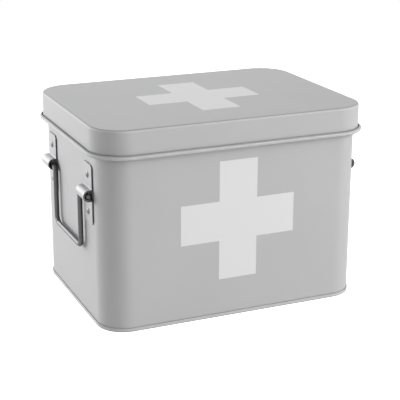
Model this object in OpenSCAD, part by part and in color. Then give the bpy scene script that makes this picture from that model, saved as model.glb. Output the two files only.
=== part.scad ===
// First aid box: a sheet steel case with a lift-off lid and two drop handles.
// Origin at the middle of the underside, X across the front, -Y the front, Z up.

/* [Body] */
// Width over the outside of the walls
body_w = 218; // [160:1:320]
// Depth over the outside of the walls
body_d = 160; // [130:1:240]
// Height of the closed box
box_h = 160; // [140:1:260]
// Radius of the upright corners, outside
corner_r = 22; // [16:0.5:36]
// Thickness of the wall sheet
wall_t = 0.6; // [0.4:0.05:1]
// Inner radius of the turned-over rim
hem_r = 0.45; // [0.3:0.05:0.8]
// Length of the rim's turned-down leg
hem_leg = 4; // [2:0.5:8]
// Width of the lock seam at the back
lock_w = 8; // [5:0.5:12]
// Gap between the lock seam's ends and the lid and base
lock_gap = 0.3; // [0.2:0.1:2]

/* [Base] */
// Thickness of the base sheet
base_t = 0.6; // [0.5:0.05:1]
// Height of the base's fold outside the wall
fold_h = 2.8; // [2.2:0.1:5]
// Height of the base panel's underside above the ground
base_lift = 2.4; // [2:0.1:4]
// Outer radius of the fold's edges and of the base panel's bend
fold_r = 0.4; // [0.3:0.05:0.45]
// Gap between the base's fold and the wall
fold_fit = 0.1; // [0.05:0.01:0.15]

/* [Lid] */
// Thickness of the lid sheet
lid_t = 0.6; // [0.4:0.05:1]
// Height of the lid from the foot of its bead to its top
lid_h = 22.4; // [16:0.2:34]
// Outer radius of the lid's top edge
lid_edge_r = 2; // [1.2:0.1:3.5]
// Outer radius of the rolled bead
bead_r = 1.7; // [1.3:0.05:2.4]
// Angle that the bead's sheet turns through
bead_turn = 275; // [240:1:290]
// Side play between the skirt and the rim
lid_play = 1.6; // [0.5:0.1:2.5]
// Gap between the lid's panel and the rim
lid_seat = 0.3; // [0.2:0.05:0.4]

/* [Handles] */
// Diameter of the handle rod
rod_d = 4; // [3:0.25:4.5]
// Distance from the pivot down to the middle of the grip
handle_drop = 46.5; // [36:0.5:60]
// Distance from the foot of the lid down to the pivot
pivot_below = 34; // [28:0.5:50]
// Middle-line radius of the bends at the pins
pin_bend_r = 4; // [3:0.25:6]
// Middle-line radius of the bends at the grip
grip_bend_r = 6; // [4:0.5:12]
// Gap between a leg's bend and the ear beside it
leg_gap = 0.5; // [0.3:0.1:2]
// How far a rod end stops short of its ear's outer side
end_inset = 1; // [0:0.25:3]
// Chamfer on the rod ends
end_chamfer = 0.5; // [0.2:0.1:1]

/* [Ears] */
// Width of the strap
ear_w = 19; // [12:0.5:24]
// Length of the strap
ear_l = 47; // [44:1:54]
// Thickness of the strap
ear_t = 1.2; // [0.8:0.1:1.6]
// Free space all round the rod, were it in the middle of the loop
loop_fit = 1.4; // [0.6:0.1:2]
// Gap below the rod where it hangs in the loop
rod_seat = 0.4; // [0.3:0.05:0.6]
// Distance of the pivot from the wall
pivot_off = 3.4; // [3.2:0.1:5]
// Outer radius of the bends where the loop leaves the wall
root_r = 2; // [1.8:0.1:3]
// Size of the clipped corners
ear_clip = 2; // [1:0.25:4]
// Distance from the strap's outer side to the start of the round corner
ear_margin = 2.25; // [0.5:0.25:10]

/* [Rivets] */
// Diameter of the shank
rivet_d = 3; // [2.4:0.1:3.4]
// Distance of each rivet from the nearer end of the strap
rivet_in = 9; // [5:0.25:10]
// Diameter of the domed head
head_d = 5.6; // [4.8:0.1:6.4]
// Height of the domed head
head_h = 1.3; // [0.8:0.1:2]
// Diameter of the flattened end inside the box
tail_d = 4.6; // [4:0.1:6]
// Height of the flattened end
tail_h = 0.9; // [0.6:0.1:1.4]
// Gap between the shank and its holes
rivet_fit = 0.05; // [0.02:0.01:0.1]

/* [Hidden] */
$fn = 64;
// How far a cutter reaches past the face that it cuts
over = 1;
// Largest angle between two corners of the wedge that cuts an arc
wedge_step = 60;

// Rim and lid: how far each lies outside the wall, and its height
rim_z = box_h - lid_t - lid_seat;
hem_reach = 2 * hem_r + wall_t;
skirt_in = hem_reach + lid_play;
skirt_out = skirt_in + lid_t;
bead_mid_r = bead_r - lid_t / 2;
bead_x = skirt_out - lid_t / 2 + bead_mid_r;
lid_foot_z = box_h - lid_h;
bead_z = lid_foot_z + bead_r;

// Base: the fold's two legs, either side of the wall
fold_in_x = -wall_t - fold_fit - base_t;
fold_out = fold_fit + base_t;

// Lock seam
lock_t = 2 * wall_t;
lock_foot_z = fold_h + lock_gap;
lock_l = lid_foot_z - lock_gap - lock_foot_z;

// Ears: the loop, which the rod hangs low in, and where the strap's flats start
pivot_z = lid_foot_z - pivot_below;
loop_z = pivot_z + loop_fit - rod_seat;
ear_pitch = body_d - 2 * corner_r - 2 * ear_margin - ear_w;
rod_r = rod_d / 2;
loop_in = rod_r + loop_fit;
loop_out = loop_in + ear_t;
flat_z = loop_in + root_r;

// Handles: places along Y, from the box's middle
pin_end_y = ear_pitch / 2 + ear_w / 2 - end_inset;
pin_start_y = ear_pitch / 2 - ear_w / 2 - leg_gap;
leg_y = pin_start_y - pin_bend_r;
grip_end_y = leg_y - grip_bend_r;

// Rivets: height above or below the loop's middle, and radius of the ball that the head is cut from
rivet_z = ear_l / 2 - rivet_in;
head_ball_r = (pow(head_d / 2, 2) + pow(head_h, 2)) / (2 * head_h);

paint = [0.76, 0.76, 0.77];
plating = [0.82, 0.82, 0.83];
steel = [0.5, 0.5, 0.52];
rivet_grey = [0.36, 0.36, 0.38];

// A profile's x is the distance outward from the wall's outer face, and its y the height.
// Carries a profile along one straight side, then round the corner that follows it.
module side_and_corner(side_l, half_w, half_d) {
    translate([half_w, half_d - corner_r, 0])
        rotate([90, 0, 0])
            linear_extrude(side_l)
                children();
    translate([half_w - corner_r, half_d - corner_r, 0])
        rotate_extrude(angle = 90)
            translate([corner_r, 0])
                children();
}

// Carries a profile all the way round the box.
module round_the_box() {
    straight_x = body_w - 2 * corner_r;
    straight_y = body_d - 2 * corner_r;
    for (turn = [0, 180]) {
        rotate(turn) {
            side_and_corner(straight_y, body_w / 2, body_d / 2) children();
            rotate(90)
                side_and_corner(straight_x, body_d / 2, body_w / 2) children();
        }
    }
}

// A flat plate with the box's round corners, its edge moved outward by grow.
module panel(grow, z, t) {
    r = corner_r + grow;
    w = body_w + 2 * grow;
    d = body_d + 2 * grow;
    translate([0, 0, z]) {
        linear_extrude(t) {
            square([w - 2 * r, d], center = true);
            square([w, d - 2 * r], center = true);
            for (x = [-1, 1], y = [-1, 1])
                translate([x * (w / 2 - r), y * (d / 2 - r)])
                    circle(r);
        }
    }
}

// Part of a ring of sheet, of outer radius r and thickness t, from angle a0 to a1.
module ring_arc(r, t, a0, a1) {
    far = 2 * r;
    steps = ceil((a1 - a0) / wedge_step);
    intersection() {
        difference() {
            circle(r);
            circle(r - t);
        }
        polygon(concat([[0, 0]],
            [for (i = [0:steps]) far * [cos(a0 + (a1 - a0) * i / steps),
                                        sin(a0 + (a1 - a0) * i / steps)]]));
    }
}

// The wall's section: an upright sheet whose top is turned outward and down.
module wall_section() {
    hem_z = rim_z - hem_r - wall_t;
    translate([-wall_t, base_t])
        square([wall_t, hem_z - base_t]);
    translate([hem_r, hem_z])
        ring_arc(hem_r + wall_t, wall_t, 0, 180);
    translate([2 * hem_r, hem_z - hem_leg])
        square([wall_t, hem_leg]);
}

// The seam that locks the wall's two ends together, flattened against the outside.
module lock_seam() {
    lock_r = lock_t / 2;
    translate([0, body_d / 2, lock_foot_z]) {
        linear_extrude(lock_l) {
            translate([-lock_w / 2, -wall_t / 2])
                square([lock_w, lock_r + wall_t / 2]);
            translate([-lock_w / 2 + lock_r, lock_r])
                square([lock_w - 2 * lock_r, lock_r]);
            for (x = [-1, 1])
                translate([x * (lock_w / 2 - lock_r), lock_r])
                    circle(lock_r);
        }
    }
}

// A side's two ears, at -1 for the front one and 1 for the rear one.
module at_ear(side, place) {
    translate([side * body_w / 2, place * ear_pitch / 2, loop_z])
        rotate(side > 0 ? 0 : 180)
            children();
}

// Holes through the wall and the straps for every rivet.
module rivet_holes() {
    for (side = [-1, 1], place = [-1, 1], level = [-1, 1])
        at_ear(side, place)
            translate([-wall_t - over, 0, level * rivet_z])
                rotate([0, 90, 0])
                    cylinder(r = rivet_d / 2 + rivet_fit, h = wall_t + ear_t + 2 * over);
}

module body_wall() {
    color(paint) {
        difference() {
            union() {
                round_the_box() wall_section();
                lock_seam();
            }
            rivet_holes();
        }
    }
}

// The base's edge in section: down inside the wall, under it and up outside.
module fold_section() {
    width = fold_out - fold_in_x;
    bend_r = fold_r + base_t;
    translate([fold_in_x, fold_r])
        square([base_t, base_lift - 2 * fold_r]);
    translate([fold_fit, fold_r])
        square([base_t, fold_h - fold_r]);
    translate([fold_in_x + fold_r, 0])
        square([width - 2 * fold_r, base_t]);
    translate([fold_in_x, fold_r])
        square([width, base_t - fold_r]);
    for (x = [fold_in_x + fold_r, fold_out - fold_r])
        translate([x, fold_r])
            circle(fold_r);
    translate([fold_in_x - fold_r, base_lift - fold_r])
        ring_arc(bend_r, base_t, 0, 90);
}

module base_plate() {
    color(paint) {
        round_the_box() fold_section();
        panel(fold_in_x - fold_r, base_lift, base_t);
    }
}

// The lid's edge in section: the top bend, the skirt and the outward rolled bead.
module lid_section() {
    bend_z = box_h - lid_edge_r;
    translate([skirt_out - lid_edge_r, bend_z])
        ring_arc(lid_edge_r, lid_t, 0, 90);
    translate([skirt_in, bead_z])
        square([lid_t, bend_z - bead_z]);
    translate([bead_x, bead_z])
        ring_arc(bead_r, lid_t, 180, 180 + bead_turn);
}

module lid() {
    color(paint) {
        round_the_box() lid_section();
        panel(skirt_out - lid_edge_r, box_h - lid_t, lid_t);
    }
}

// A quarter bend of the rod in the YZ plane, from the angle start.
module rod_bend(r, start) {
    rotate([90, 0, 90])
        rotate(start)
            rotate_extrude(angle = 90)
                translate([r, 0])
                    circle(rod_r);
}

// A straight stretch of the rod along +Y.
module rod_along_y(len) {
    rotate([-90, 0, 0])
        cylinder(r = rod_r, h = len);
}

// Half of a handle, from the middle of its grip to the end of its pin.
// It hangs in the YZ plane, and the pivot line runs along Y through the origin.
module half_handle() {
    translate([0, pin_start_y, 0])
        rod_along_y(pin_end_y - pin_start_y - end_chamfer);
    translate([0, pin_end_y - end_chamfer, 0])
        rotate([-90, 0, 0])
            cylinder(r1 = rod_r, r2 = rod_r - end_chamfer, h = end_chamfer);
    translate([0, pin_start_y, -pin_bend_r])
        rod_bend(pin_bend_r, 90);
    translate([0, leg_y, -handle_drop + grip_bend_r])
        cylinder(r = rod_r, h = handle_drop - grip_bend_r - pin_bend_r);
    translate([0, grip_end_y, -handle_drop + grip_bend_r])
        rod_bend(grip_bend_r, -90);
    translate([0, 0, -handle_drop])
        rod_along_y(grip_end_y);
}

module handle(side) {
    color(steel)
        translate([side * (body_w / 2 + pivot_off), 0, pivot_z]) {
            half_handle();
            mirror([0, 1, 0])
                half_handle();
        }
}

// A strap's section, looking along Y: a half loop, and on each side of it a short run
// back towards the wall, a tight bend and a flat.
module ear_section() {
    translate([pivot_off, 0])
        ring_arc(loop_out, ear_t, -90, 90);
    for (up = [0, 1]) {
        mirror([0, up]) {
            translate([root_r, loop_in])
                square([pivot_off - root_r, ear_t]);
            translate([root_r, flat_z])
                ring_arc(root_r, ear_t, 180, 270);
            translate([0, flat_z])
                square([ear_t, ear_l / 2 - flat_z]);
        }
    }
}

module ear(side, place) {
    tip = ear_l / 2;
    clip_side = ear_clip * sqrt(2);
    color(plating) {
        difference() {
            at_ear(side, place) {
                difference() {
                    translate([0, ear_w / 2, 0])
                        rotate([90, 0, 0])
                            linear_extrude(ear_w)
                                ear_section();
                    for (y = [-1, 1], z = [-1, 1])
                        translate([ear_t / 2, y * ear_w / 2, z * tip])
                            rotate([45, 0, 0])
                                cube([ear_t + 2 * over, clip_side, clip_side], center = true);
                }
            }
            rivet_holes();
        }
    }
}

// A rivet's half section: the domed head at the top, the flattened end at the bottom.
module rivet_section() {
    grip = wall_t + ear_t;
    square([rivet_d / 2, grip]);
    translate([0, -tail_h])
        square([tail_d / 2, tail_h]);
    intersection() {
        translate([0, grip + head_h - head_ball_r])
            circle(head_ball_r);
        translate([0, grip])
            square([head_d, head_h]);
    }
}

// A rivet along X: its head on the strap, its flattened end inside the wall.
module rivet(side, place, level) {
    color(rivet_grey)
        at_ear(side, place)
            translate([-wall_t, 0, level * rivet_z])
                rotate([0, 90, 0])
                    rotate_extrude()
                        rivet_section();
}

body_wall();
base_plate();
lid();
handle(-1);  // left_handle
handle(1);  // right_handle
ear(-1, -1);  // left_front_ear
ear(-1, 1);  // left_rear_ear
ear(1, -1);  // right_front_ear
ear(1, 1);  // right_rear_ear
rivet(-1, -1, 1);  // left_front_upper_rivet
rivet(-1, -1, -1);  // left_front_lower_rivet
rivet(-1, 1, 1);  // left_rear_upper_rivet
rivet(-1, 1, -1);  // left_rear_lower_rivet
rivet(1, -1, 1);  // right_front_upper_rivet
rivet(1, -1, -1);  // right_front_lower_rivet
rivet(1, 1, 1);  // right_rear_upper_rivet
rivet(1, 1, -1);  // right_rear_lower_rivet
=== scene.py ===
# %% [markdown]
# # A first aid box in pressed steel
#
# The box is a deep tin with round corners, a lid that lifts off, and a drop handle of bent rod on
# each end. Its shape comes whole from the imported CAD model. This lesson dresses it: it sets up the
# camera and the light, makes a material for each of the box's finishes, and lays the two printed
# crosses on the enamel.

import math

import bmesh
import bpy
from mathutils import Matrix, Quaternion, Vector


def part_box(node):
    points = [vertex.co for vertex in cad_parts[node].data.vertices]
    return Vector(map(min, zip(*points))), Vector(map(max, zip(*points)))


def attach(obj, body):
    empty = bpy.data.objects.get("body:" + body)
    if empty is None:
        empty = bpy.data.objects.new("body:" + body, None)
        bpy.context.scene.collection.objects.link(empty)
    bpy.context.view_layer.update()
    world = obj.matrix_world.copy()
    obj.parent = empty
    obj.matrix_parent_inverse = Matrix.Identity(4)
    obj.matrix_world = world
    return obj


MM = 0.001
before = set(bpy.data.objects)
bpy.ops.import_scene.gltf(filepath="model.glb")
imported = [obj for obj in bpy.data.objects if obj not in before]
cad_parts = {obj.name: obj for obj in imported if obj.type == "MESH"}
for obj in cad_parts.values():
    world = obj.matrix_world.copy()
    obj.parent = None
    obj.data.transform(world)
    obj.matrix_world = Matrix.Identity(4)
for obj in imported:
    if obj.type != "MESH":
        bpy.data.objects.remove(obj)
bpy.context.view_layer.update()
print("pieces from CAD:", len(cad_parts))

# %% [markdown]
# ## The camera
#
# The photograph is taken from above and to the left with a long lens, so the box's upright edges
# lean in only a little. The place, the angles and the lens were worked out from the corners of
# the two crosses and the edges of the lid. A long lens from about a metre away is what a product
# photographer would use, because it keeps the shape calm.

# %% Camera
PHOTO_PIXELS = 400
FOCAL_PIXELS = 1150.5
camera_place = Vector((-0.36194, -0.84074, 0.37100))
turn_right = math.radians(23.429)
look_down = math.radians(18.168)
tilt = math.radians(0.157)

camera_data = bpy.data.cameras.new("camera")
camera_data.sensor_width = 36
camera_data.lens = FOCAL_PIXELS * camera_data.sensor_width / PHOTO_PIXELS
camera = bpy.data.objects.new("camera", camera_data)
bpy.context.collection.objects.link(camera)
look = Vector((math.sin(turn_right) * math.cos(look_down),
               math.cos(turn_right) * math.cos(look_down),
               -math.sin(look_down)))
camera.location = camera_place
camera.rotation_mode = "QUATERNION"
camera.rotation_quaternion = look.to_track_quat("-Z", "Y") @ Quaternion((0, 0, 1), tilt)
bpy.context.scene.camera = camera
print("lens in mm:", round(camera_data.lens, 2))

# %% [markdown]
# ## Two helpers for materials
#
# Colours are written as the hex values that a painter would pick on a screen. Blender works in
# linear light, so one function turns each hex value into linear numbers. A second function adds
# a node to a material, sets it up and links it, which keeps each recipe short enough to read.

# %% Colour and node helpers
def linear(hex_colour):
    """An sRGB hex colour such as "#BEBEBE" as linear red, green, blue and alpha."""
    channels = [int(hex_colour[i:i + 2], 16) / 255 for i in (1, 3, 5)]
    return [c / 12.92 if c <= 0.04045 else ((c + 0.055) / 1.055) ** 2.4 for c in channels] + [1]


def add_node(tree, kind, inputs=None, **settings):
    """Adds a node, sets its own settings, and fills or links the inputs that are named."""
    node = tree.nodes.new(kind)
    for name, value in settings.items():
        setattr(node, name, value)
    for name, value in (inputs or {}).items():
        if isinstance(value, bpy.types.NodeSocket):
            tree.links.new(value, node.inputs[name])
        else:
            node.inputs[name].default_value = value
    return node


def new_material(name):
    """An empty material: its node tree, with only the output node in it."""
    material = bpy.data.materials.new(name)
    material.use_nodes = True
    tree = material.node_tree
    tree.nodes.clear()
    return material, tree, tree.nodes.new("ShaderNodeOutputMaterial")


print("mid grey in linear light:", round(linear("#BEBEBE")[0], 3))

# %% [markdown]
# ## The white backdrop
#
# Product photographs are taken on a white sweep of paper. Here the world itself is white, but only
# for the camera and for reflections. If the white world lit the box as well, it would fill every
# shadow and the corners would go flat.

# %% Backdrop
world = bpy.data.worlds.new("studio")
bpy.context.scene.world = world
world.use_nodes = True
sky = world.node_tree
sky.nodes.clear()
FILL_LEVEL = 0.02       # what the surroundings add to the light on the box
BACKDROP_LEVEL = 1.0    # white, as the camera and the shiny surfaces see it
rays = add_node(sky, "ShaderNodeLightPath")
seen = add_node(sky, "ShaderNodeMath", {0: rays.outputs["Is Camera Ray"],
                                        1: rays.outputs["Is Glossy Ray"]}, operation="MAXIMUM")
seen = add_node(sky, "ShaderNodeMath", {0: seen.outputs[0],
                                        1: rays.outputs["Is Transmission Ray"]},
                operation="MAXIMUM")
level = add_node(sky, "ShaderNodeMapRange", {"Value": seen.outputs[0], "To Min": FILL_LEVEL,
                                             "To Max": BACKDROP_LEVEL})
white = add_node(sky, "ShaderNodeBackground", {"Color": linear("#FFFFFF"),
                                               "Strength": level.outputs["Result"]})
add_node(sky, "ShaderNodeOutputWorld", {"Surface": white.outputs[0]})
bpy.context.scene.view_settings.view_transform = "Standard"
print("the world lights the box at", FILL_LEVEL, "and shows at", BACKDROP_LEVEL)

# %% [markdown]
# ## Soft boxes
#
# The box stands between two wide soft boxes. One is behind it on the left and the other in front
# of it on the right, so the round corner between them turns away from both and goes dark. That
# dark band is what tells the eye that the corner is round. A weaker light from behind and one
# from above keep the lid as pale as the front.
#
# A small bright lamp would give the same amount of light, but its reflection would burn a white
# patch into the lid when the box is seen from the far side. Wide lamps keep that reflection soft.

# %% Soft lights
LIGHT_DISTANCE = 1.6    # from the middle of the box to each soft box, in metres
BOX_MIDDLE = Vector((0, 0, 0.08))


def soft_light(name, around, up, width, height, watts):
    """A soft box of the given size in metres that faces the middle of the box.

    The angle around is 0 at the left, 90 at the front and 180 at the right, and up is measured
    from the floor.
    """
    around, up = math.radians(around), math.radians(up)
    away = Vector((-math.cos(around) * math.cos(up), -math.sin(around) * math.cos(up),
                   math.sin(up)))
    data = bpy.data.lights.new(name, "AREA")
    data.shape = "RECTANGLE"
    data.size, data.size_y, data.energy = width, height, watts
    light = bpy.data.objects.new(name, data)
    bpy.context.collection.objects.link(light)
    light.location = BOX_MIDDLE + away * LIGHT_DISTANCE
    light.rotation_euler = (-away).to_track_quat("-Z", "Y").to_euler()
    print(name, "at", [round(x, 2) for x in light.location])


soft_light("left_light", -43, 13, 2.0, 0.9, 31)
soft_light("rear_light", -90, 28, 2.0, 1.2, 8.5)
soft_light("right_light", 123, 19, 2.0, 1.2, 25.1)
soft_light("overhead_light", 140, 60, 1.6, 1.6, 7.5)

# %% [markdown]
# ## The floor
#
# The floor is pale card. What the camera sees of it is lifted to white by a little added light of
# its own, which still lets the box's soft shadow show. What the box gets back from the floor stays
# the card's own light grey, so the white doesn't creep up the walls.

# %% Floor
FLOOR_HALF = 0.9        # half the card's width in metres
FLOOR_DROP_MM = 0.02    # how far it lies under the box, so that the two faces don't fight
LIFT_LEVEL = 0.88       # the light that is added where the camera looks at the card
floor_mesh = bpy.data.meshes.new("floor")
floor_mesh.from_pydata([(-FLOOR_HALF, -FLOOR_HALF, 0), (FLOOR_HALF, -FLOOR_HALF, 0),
                        (FLOOR_HALF, FLOOR_HALF, 0), (-FLOOR_HALF, FLOOR_HALF, 0)],
                       [], [(0, 1, 2, 3)])
floor = bpy.data.objects.new("floor", floor_mesh)
bpy.context.collection.objects.link(floor)
floor.location.z = -FLOOR_DROP_MM * MM

card, tree, out = new_material("pale_card")
rays = add_node(tree, "ShaderNodeLightPath")
paper = add_node(tree, "ShaderNodeBsdfDiffuse", {"Color": linear("#D8D8D8")})
seen_paper = add_node(tree, "ShaderNodeBsdfDiffuse", {"Color": linear("#E0E0E0")})
lift = add_node(tree, "ShaderNodeEmission", {"Color": linear("#FFFFFF"),
                                             "Strength": LIFT_LEVEL})
lifted = add_node(tree, "ShaderNodeAddShader")
tree.links.new(seen_paper.outputs[0], lifted.inputs[0])
tree.links.new(lift.outputs[0], lifted.inputs[1])
seen = add_node(tree, "ShaderNodeMath", {0: rays.outputs["Is Camera Ray"],
                                         1: rays.outputs["Is Glossy Ray"]}, operation="MAXIMUM")
mix = add_node(tree, "ShaderNodeMixShader", {"Fac": seen.outputs[0]})
tree.links.new(paper.outputs[0], mix.inputs[1])
tree.links.new(lifted.outputs[0], mix.inputs[2])
tree.links.new(mix.outputs[0], out.inputs["Surface"])
floor_mesh.materials.append(card)
print("floor of", card.name, 2 * FLOOR_HALF, "m wide")

# %% [markdown]
# ## Where the enamel wears and gathers dust
# Hands and shelves rub a tin along its rolled and folded edges first. Here those edges are painted
# paler, partly as that wear and partly as a painted highlight. There the surface looks neither
# straight up nor straight out, so its slope marks where the paler tone goes, and noise leaves a few
# spots of it out. Just above, where a bend turns into the flat top, a thin dark line is painted in,
# which stands in for a dark reflection.
# top, wet paint draws back before it sets, and the dark primer shows through as a thin line.
#
# The slot over the rolled edge and the creases low down are painted darker, as painted shade. The
# ambient occlusion node finds such places, because it measures how near the next surface is. All
# three could be painted by hand, but a mask that follows the shape still fits when a size changes.

# %% Wear, painted highlight and painted shade
# A paler tone along the bends: a painted highlight, with some rubbed wear in it.
RUB_AND_HIGHLIGHT = "#C5C5C5"
BEND_SLOPE = 0.4    # how far up a highlit bend looks: 0 is straight out and 1 is straight up
BEND_FULL = 0.15    # this near to that slope the painted highlight and wear are full
BEND_NONE = 0.35    # and this far from it there is none
RUB_MM = 7          # length of the spots that break up the highlight along an edge
SPOT_NONE = 0.25    # the noise below which an edge gets no highlight or wear
SPOT_FULL = 0.5     # and above which it gets all of it

# A grey for the thin dark line on each crown: a painted dark reflection.
CROWN_DARK_REFLECTION = "#8C8C8E"
CROWN_SLOPE = 0.85  # how far up the bend looks where the painted dark reflection line falls
CROWN_FULL = 0.06
CROWN_NONE = 0.14
CROWN_REFLECTION_SHARE = 0.7  # how dark the painted reflection line gets

CREASE_MM = 1.5     # how near two surfaces lie where the crease is painted darker as shade
CREASE_SHADE_FULL = 0.5     # the share of open air at which the painted shade is full
CREASE_SHADE_NONE = 0.9     # and at which it is gone


def wear_and_painted_light(tree, place, tone, crease_shade):
    """The enamel's colour with painted highlight and wear on bends, a painted dark line on crowns
    and painted shade in creases.
    """
    slope = add_node(tree, "ShaderNodeSeparateXYZ", {"Vector": place.outputs["Normal"]})
    up = add_node(tree, "ShaderNodeMath", {0: slope.outputs["Z"]}, operation="ABSOLUTE")
    # Painted highlight and wear: bends that look about BEND_SLOPE up are painted paler, in spots.
    lean = add_node(tree, "ShaderNodeMath", {0: up.outputs[0], 1: BEND_SLOPE},
                    operation="SUBTRACT")
    lean = add_node(tree, "ShaderNodeMath", {0: lean.outputs[0]}, operation="ABSOLUTE")
    bend_highlight = add_node(tree, "ShaderNodeMapRange", {"Value": lean.outputs[0],
                                                 "From Min": BEND_NONE,
                                                 "From Max": BEND_FULL})
    noise = add_node(tree, "ShaderNodeTexNoise", {"Vector": place.outputs["Object"],
                                                  "Scale": 1 / (RUB_MM * MM), "Detail": 4.0})
    spots = add_node(tree, "ShaderNodeMapRange", {"Value": noise.outputs["Fac"],
                                                  "From Min": SPOT_NONE,
                                                  "From Max": SPOT_FULL})
    highlight_and_rub = add_node(tree, "ShaderNodeMath", {0: bend_highlight.outputs[0], 1: spots.outputs[0]},
                      operation="MULTIPLY")
    worn_and_highlit = add_node(tree, "ShaderNodeMix", {"Factor": highlight_and_rub.outputs[0], "A": tone.outputs[2],
                                            "B": linear(RUB_AND_HIGHLIGHT)}, data_type="RGBA")

    # Painted dark reflection: a thin line where a bend meets the flat top is darkened.
    crown = add_node(tree, "ShaderNodeMath", {0: up.outputs[0], 1: CROWN_SLOPE},
                     operation="SUBTRACT")
    crown = add_node(tree, "ShaderNodeMath", {0: crown.outputs[0]}, operation="ABSOLUTE")
    crown_reflection = add_node(tree, "ShaderNodeMapRange", {"Value": crown.outputs[0],
                                                 "From Min": CROWN_NONE,
                                                 "From Max": CROWN_FULL,
                                                 "To Max": CROWN_REFLECTION_SHARE})
    crown_darkened = add_node(tree, "ShaderNodeMix", {"Factor": crown_reflection.outputs[0],
                                                  "A": worn_and_highlit.outputs[2],
                                                  "B": linear(CROWN_DARK_REFLECTION)}, data_type="RGBA")

    # Painted shade: where the occlusion node finds a near surface, the colour darkens.
    crease = add_node(tree, "ShaderNodeAmbientOcclusion", {"Distance": CREASE_MM * MM},
                      samples=8)
    open_air = add_node(tree, "ShaderNodeMapRange", {"Value": crease.outputs["AO"],
                                                     "From Min": CREASE_SHADE_FULL,
                                                     "From Max": CREASE_SHADE_NONE})
    return add_node(tree, "ShaderNodeMix", {"Factor": open_air.outputs[0], "A": linear(crease_shade),
                                            "B": crown_darkened.outputs[2]}, data_type="RGBA")


print("bends look up by", BEND_SLOPE, "and crowns by", CROWN_SLOPE)

# %% [markdown]
# ## Silver-grey stove enamel
#
# The body, the base and the lid are pressed from thin steel sheet and stove-enamelled: sprayed
# with a plain grey paint, then baked. Paint is no metal, so its metallic value stays at zero. The
# baked skin is a dull satin, with an orange peel, and a flat sheet keeps slight waves from the
# press, so two sizes of noise shape the surface. Both are bumps, because real dents this shallow
# would need very many faces. The paint's dulling powder lowers its IOR a little under the 1.5 of
# clear paint.

# %% Enamel
PEEL_MM = 1.6         # distance between the bumps of the orange peel
PEEL_DEPTH_MM = 0.02
WAVE_MM = 45          # length of the waves that pressing leaves in the sheet
WAVE_DEPTH_MM = 0.3


def stove_enamel(name, dark, pale, crease_shade):
    """Silver-grey enamel between two close tones, with painted highlight and wear along its edges
    and painted shade in its slots.
    """
    material, tree, out = new_material(name)
    place = add_node(tree, "ShaderNodeTexCoord")
    peel = add_node(tree, "ShaderNodeTexNoise", {"Vector": place.outputs["Object"],
                                                 "Scale": 1 / (PEEL_MM * MM), "Detail": 2.0})
    waves = add_node(tree, "ShaderNodeTexNoise", {"Vector": place.outputs["Object"],
                                                  "Scale": 1 / (WAVE_MM * MM), "Detail": 1.0})
    tone = add_node(tree, "ShaderNodeMix", {"Factor": waves.outputs["Fac"], "A": linear(dark),
                                            "B": linear(pale)}, data_type="RGBA")
    colour = wear_and_painted_light(tree, place, tone, crease_shade)
    satin = add_node(tree, "ShaderNodeMapRange", {"Value": peel.outputs["Fac"],
                                                  "To Min": 0.58, "To Max": 0.64})
    skin = add_node(tree, "ShaderNodeBump", {"Height": peel.outputs["Fac"], "Strength": 0.12,
                                             "Distance": PEEL_DEPTH_MM * MM})
    dents = add_node(tree, "ShaderNodeBump", {"Height": waves.outputs["Fac"], "Strength": 0.3,
                                              "Distance": WAVE_DEPTH_MM * MM,
                                              "Normal": skin.outputs[0]})
    paint = add_node(tree, "ShaderNodeBsdfPrincipled",
                     {"Base Color": colour.outputs[2], "Roughness": satin.outputs[0],
                      "IOR": 1.4, "Normal": dents.outputs[0]})
    tree.links.new(paint.outputs[0], out.inputs["Surface"])
    return material


print("orange peel every", PEEL_MM, "mm and press waves of", WAVE_MM, "mm")

# %% [markdown]
# The lid, the wall and the base get an enamel each. The paint is the same, apart from a slightly
# paler base, which is painted light for the light that the base's fold catches. The painted shade in
# creases differs: it is deep in the lid's slot and faint low on the wall.

# %% Enamel on the pieces
WALL_CREASE_SHADE = "#9A9A9C"     # faint painted shade low on the wall
FOOT_CREASE_SHADE = "#7A7A7C"      # stronger painted shade round the foot, where the box meets the floor
SLOT_CREASE_SHADE = "#242424"      # deep painted shade down in the lid's slot


def dress(node_name, material):
    """Gives a CAD piece one material in place of the one it came with."""
    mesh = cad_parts[node_name].data
    mesh.materials.clear()
    mesh.materials.append(material)
    print(node_name, "is in", material.name)


dress("lid", stove_enamel("silver_grey_stove_enamel_lid", "#B9B9BA", "#BDBDBE", SLOT_CREASE_SHADE))
dress("body_wall", stove_enamel("silver_grey_stove_enamel_wall", "#B9B9BA", "#BDBDBE", WALL_CREASE_SHADE))
# The base's paler tone is painted light, standing in for the light its fold catches from above.
dress("base_plate", stove_enamel("silver_grey_stove_enamel_base", "#C1C1C2", "#C7C7C8", FOOT_CREASE_SHADE))

# %% [markdown]
# ## Zinc-plated straps
#
# The handles hang in straps that are cut from zinc-plated strip and pressed round the rod. The
# plating has a dull bloom, nearly as pale as the paint, so only a small part of it still behaves
# as a metal. The strip was rolled, which leaves fine lines along it.
#
# Its edges were sheared, and they are coloured a darker grey. They could have a material of their
# own, but the long cut edges are the only faces that look straight along the box's depth, so their
# direction is enough to tell them apart.

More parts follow.
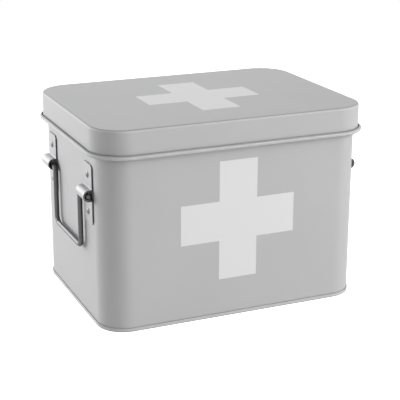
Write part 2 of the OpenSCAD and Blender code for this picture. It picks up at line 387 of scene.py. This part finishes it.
# %% Plated strip
ROLLING_MM = 0.25     # distance between rolling lines, drawn coarser than real so that they show
LINE_STRETCH = 0.04   # the lines run upright, so the noise is drawn out along Z
CUT_EDGE = 0.9        # a face that looks further than this along Y is a cut edge
plated, tree, out = new_material("dull_zinc_plated_steel_strip")
place = add_node(tree, "ShaderNodeTexCoord")
stretch = add_node(tree, "ShaderNodeMapping", {"Vector": place.outputs["Object"],
                                               "Scale": (1, 1, LINE_STRETCH)})
lines = add_node(tree, "ShaderNodeTexNoise", {"Vector": stretch.outputs[0],
                                              "Scale": 1 / (ROLLING_MM * MM), "Detail": 2.0})
gloss = add_node(tree, "ShaderNodeMapRange", {"Value": lines.outputs["Fac"], "To Min": 0.42,
                                              "To Max": 0.52})
surface = add_node(tree, "ShaderNodeNewGeometry")
facing = add_node(tree, "ShaderNodeSeparateXYZ", {"Vector": surface.outputs["Normal"]})
side = add_node(tree, "ShaderNodeMath", {0: facing.outputs["Y"]}, operation="ABSOLUTE")
sheared = add_node(tree, "ShaderNodeMath", {0: side.outputs[0], 1: CUT_EDGE},
                   operation="GREATER_THAN")
# The cut edges, the faces that look along Y, are coloured a darker grey.
tone = add_node(tree, "ShaderNodeMix", {"Factor": sheared.outputs[0], "A": linear("#ACACAD"),
                                        "B": linear("#4A4A4C")}, data_type="RGBA")
strip = add_node(tree, "ShaderNodeBsdfPrincipled",
                 {"Base Color": tone.outputs[2], "Roughness": gloss.outputs[0], "Metallic": 0.15})
tree.links.new(strip.outputs[0], out.inputs["Surface"])
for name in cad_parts:
    if name.endswith("_ear"):
        dress(name, plated)

# %% [markdown]
# ## Drawn steel handles
#
# Each handle is bent from steel wire that was drawn through a die to an even thickness. It looks
# darker than the straps, because its round surface reflects the whole room, light and dark, in
# thin lines. Dull patches come from hands and from the straps it turns in. Handling leaves a film
# of oil and rust on it, so it isn't quite a full metal.

# %% Drawn rod
SCUFF_MM = 3.0        # size of the dull patches where hands and straps rub the rod
drawn, tree, out = new_material("drawn_steel_rod")
place = add_node(tree, "ShaderNodeTexCoord")
scuffs = add_node(tree, "ShaderNodeTexNoise", {"Vector": place.outputs["Object"],
                                               "Scale": 1 / (SCUFF_MM * MM), "Detail": 4.0})
gloss = add_node(tree, "ShaderNodeMapRange", {"Value": scuffs.outputs["Fac"], "To Min": 0.36,
                                              "To Max": 0.48})
tone = add_node(tree, "ShaderNodeMix", {"Factor": scuffs.outputs["Fac"], "A": linear("#505052"),
                                        "B": linear("#646466")}, data_type="RGBA")
rod = add_node(tree, "ShaderNodeBsdfPrincipled",
               {"Base Color": tone.outputs[2], "Roughness": gloss.outputs[0], "Metallic": 0.7})
tree.links.new(rod.outputs[0], out.inputs["Surface"])
for name in ("left_handle", "right_handle"):
    dress(name, drawn)

# %% [markdown]
# ## Dulled rivets
#
# Two steel rivets hold each strap. Their heads were forged, which leaves small pits, and have
# dulled since. The pits are far too small to model, so noise bends the light over them instead.

# %% Rivets
PIT_MM = 0.5          # size of the small pits that forging left
PIT_DEPTH_MM = 0.05
dull, tree, out = new_material("dulled_steel_rivet")
place = add_node(tree, "ShaderNodeTexCoord")
pits = add_node(tree, "ShaderNodeTexNoise", {"Vector": place.outputs["Object"],
                                             "Scale": 1 / (PIT_MM * MM), "Detail": 3.0})
tone = add_node(tree, "ShaderNodeMix", {"Factor": pits.outputs["Fac"], "A": linear("#5A5A5C"),
                                        "B": linear("#747476")}, data_type="RGBA")
pitted = add_node(tree, "ShaderNodeBump", {"Height": pits.outputs["Fac"], "Strength": 0.3,
                                           "Distance": PIT_DEPTH_MM * MM})
head = add_node(tree, "ShaderNodeBsdfPrincipled",
                {"Base Color": tone.outputs[2], "Roughness": 0.45, "Metallic": 1.0,
                 "Normal": pitted.outputs[0]})
tree.links.new(head.outputs[0], out.inputs["Surface"])
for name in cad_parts:
    if name.endswith("_rivet"):
        dress(name, dull)

# %% [markdown]
# ## The white crosses
#
# A plain cross is screen printed on the lid and on the front. Printing lays down a film with real
# thickness, so each cross is a thin plate on the metal and not only a colour in it. Its flat face
# stands a hair above the enamel, which gives it a crisp border from every side.

# %% Cross paint
MESH_MM = 0.35        # spacing of the screen's threads, which leave a faint texture in the film
MESH_DEPTH_MM = 0.01
print_white, tree, out = new_material("screen_printed_white_enamel")
place = add_node(tree, "ShaderNodeTexCoord")
film = add_node(tree, "ShaderNodeTexNoise", {"Vector": place.outputs["Object"],
                                             "Scale": 1 / (MESH_MM * MM), "Detail": 1.0})
tone = add_node(tree, "ShaderNodeMix", {"Factor": film.outputs["Fac"], "A": linear("#DFDFDF"),
                                        "B": linear("#E3E3E3")}, data_type="RGBA")
grainy = add_node(tree, "ShaderNodeBump", {"Height": film.outputs["Fac"], "Strength": 0.1,
                                           "Distance": MESH_DEPTH_MM * MM})
film_paint = add_node(tree, "ShaderNodeBsdfPrincipled",
                      {"Base Color": tone.outputs[2], "Roughness": 0.6, "IOR": 1.4,
                       "Normal": grainy.outputs[0]})
tree.links.new(film_paint.outputs[0], out.inputs["Surface"])
print("the crosses are in", print_white.name)

# %% [markdown]
# A cross has twelve corners, so its outline is written out and raised by the thickness of the
# film. Both crosses are the same plate: one lies on the lid and rides up with it, and a quarter
# turn stands the other against the front wall.

# %% Cross shape
ARM_MM = 32           # width of an arm, and its length out from the middle square
FILM_MM = 0.06        # thickness of the printed film


def cross(name, to_place, body):
    """A printed cross: a twelve-cornered plate, its face in the XY plane, laid by a matrix."""
    half = ARM_MM / 2 * MM
    tip = ARM_MM * 1.5 * MM
    outline = [(-half, -tip), (half, -tip), (half, -half), (tip, -half),
               (tip, half), (half, half), (half, tip), (-half, tip),
               (-half, half), (-tip, half), (-tip, -half), (-half, -half)]
    plate = bmesh.new()
    face = plate.faces.new([plate.verts.new((x, y, 0)) for x, y in outline])
    raised = bmesh.ops.extrude_face_region(plate, geom=[face])["geom"]
    top = [v for v in raised if isinstance(v, bmesh.types.BMVert)]
    bmesh.ops.translate(plate, verts=top, vec=(0, 0, FILM_MM * MM))
    bmesh.ops.recalc_face_normals(plate, faces=plate.faces)
    mesh = bpy.data.meshes.new(name)
    plate.to_mesh(mesh)
    plate.free()
    mesh.transform(to_place)
    mesh.materials.append(print_white)
    piece = bpy.data.objects.new(name, mesh)
    bpy.context.collection.objects.link(piece)
    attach(piece, body)


# %% Crosses on the lid and the front
FRONT_CROSS_MM = 79.5   # height of the front cross's middle
RIM_REACH_MM = 1.5      # how far the wall's turned-over rim stands out past its face
wall_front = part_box("body_wall")[0][1] + RIM_REACH_MM * MM
lid_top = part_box("lid")[1][2]
cross("lid_cross", Matrix.Translation((0, 0, lid_top)), "lid")
cross("front_cross", Matrix.Translation((0, wall_front, FRONT_CROSS_MM * MM))
      @ Matrix.Rotation(math.radians(90), 4, "X"), "case")
print("front wall at y =", round(wall_front, 4), "and lid at z =", round(lid_top, 4))
